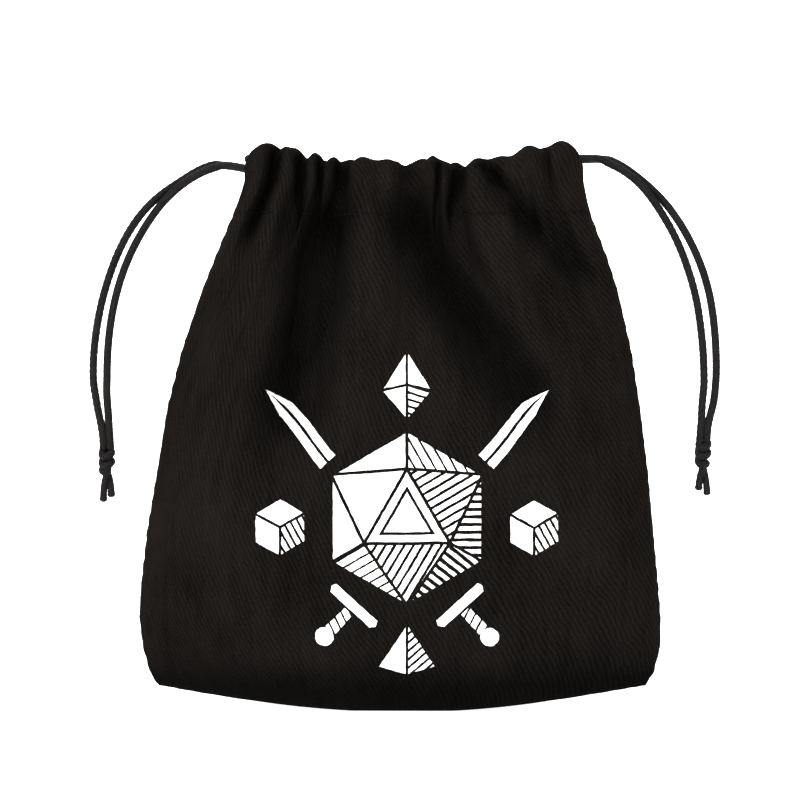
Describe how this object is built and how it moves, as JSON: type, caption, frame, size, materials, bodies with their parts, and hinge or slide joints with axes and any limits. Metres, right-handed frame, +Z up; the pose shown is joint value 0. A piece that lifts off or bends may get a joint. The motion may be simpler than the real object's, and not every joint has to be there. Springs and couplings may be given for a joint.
{
  "type": "drawstring dice bag",
  "caption": "Small black twill drawstring bag standing filled, gathered neck with a folded casing, two knotted pull cords and a white printed emblem on the front.",
  "frame": {"origin": "middle of the base, on the plane the bag stands on, which is the mount base", "axes": "+Z up through the neck, the printed front faces -Y, +X to the viewer's right as seen from the front"},
  "size_m": [0.1858, 0.041, 0.1668],
  "materials": {
    "twill": "black cotton twill, matt",
    "raw_edge": "cut twill edge",
    "thread": "black polyester sewing thread",
    "braided_cord": "black braided cord, slight sheen",
    "ink": "white screen-print ink, matt"
  },
  "bodies": {
    "bag": {"front_panel": "twill", "back_panel": "twill", "left_side_seam": "raw_edge", "right_side_seam": "raw_edge", "bottom_seam": "raw_edge", "front_casing": "twill", "back_casing": "twill", "front_casing_stitching": "thread", "back_casing_stitching": "thread", "front_print": "ink"},
    "left_neck": {"left_neck_seam": "raw_edge"},
    "right_neck": {"right_neck_seam": "raw_edge"},
    "left_cord": {"left_cord_loop": "braided_cord"},
    "left_lead": {"left_lead_front": "braided_cord", "left_lead_back": "braided_cord"},
    "left_pull": {"left_strand_front": "braided_cord", "left_strand_back": "braided_cord", "left_knot": "braided_cord", "left_tip_front": "braided_cord", "left_tip_back": "braided_cord"},
    "right_cord": {"right_cord_loop": "braided_cord"},
    "right_lead": {"right_lead_front": "braided_cord", "right_lead_back": "braided_cord"},
    "right_pull": {"right_strand_front": "braided_cord", "right_strand_back": "braided_cord", "right_knot": "braided_cord", "right_tip_front": "braided_cord", "right_tip_back": "braided_cord"}
  },
  "joints": [
    {"name": "left_cord_pull", "type": "slide", "parent": "bag", "child": "left_cord", "axis": [-1, 0, 0], "range_m": [-0.018, 0.028], "deforming": ["front_casing", "back_casing", "front_casing_stitching", "back_casing_stitching"]},
    {"name": "right_cord_pull", "type": "slide", "parent": "bag", "child": "right_cord", "axis": [1, 0, 0], "range_m": [-0.018, 0.028]},
    {"name": "left_neck_gather", "type": "slide", "parent": "bag", "child": "left_neck", "axis": [1, 0, 0], "range_m": [-0.018, 0.028]},
    {"name": "right_neck_gather", "type": "slide", "parent": "bag", "child": "right_neck", "axis": [-1, 0, 0], "range_m": [-0.018, 0.028]},
    {"name": "left_cord_swing", "type": "hinge", "parent": "left_cord", "child": "left_lead", "pos_m": [-0.0516, 0, 0.1586], "axis": [0, 1, 0], "range_deg": [-2, 75]},
    {"name": "right_cord_swing", "type": "hinge", "parent": "right_cord", "child": "right_lead", "pos_m": [0.0586, 0, 0.1622], "axis": [0, -1, 0], "range_deg": [-2, 75]},
    {"name": "left_cord_payout", "type": "slide", "parent": "left_lead", "child": "left_pull", "axis": [0.7071, 0, -0.7071], "range_m": [-0.0255, 0.0397]},
    {"name": "right_cord_payout", "type": "slide", "parent": "right_lead", "child": "right_pull", "axis": [-0.7071, 0, -0.7071], "range_m": [-0.0255, 0.0397]}
  ],
  "couplings": [
    {"joint": "right_cord_pull", "follows": "left_cord_pull", "ratio": 1},
    {"joint": "left_neck_gather", "follows": "left_cord_pull", "ratio": 1},
    {"joint": "right_neck_gather", "follows": "left_cord_pull", "ratio": 1},
    {"joint": "left_cord_payout", "follows": "left_cord_pull", "ratio": 1.4142},
    {"joint": "right_cord_payout", "follows": "left_cord_pull", "ratio": 1.4142}
  ]
}
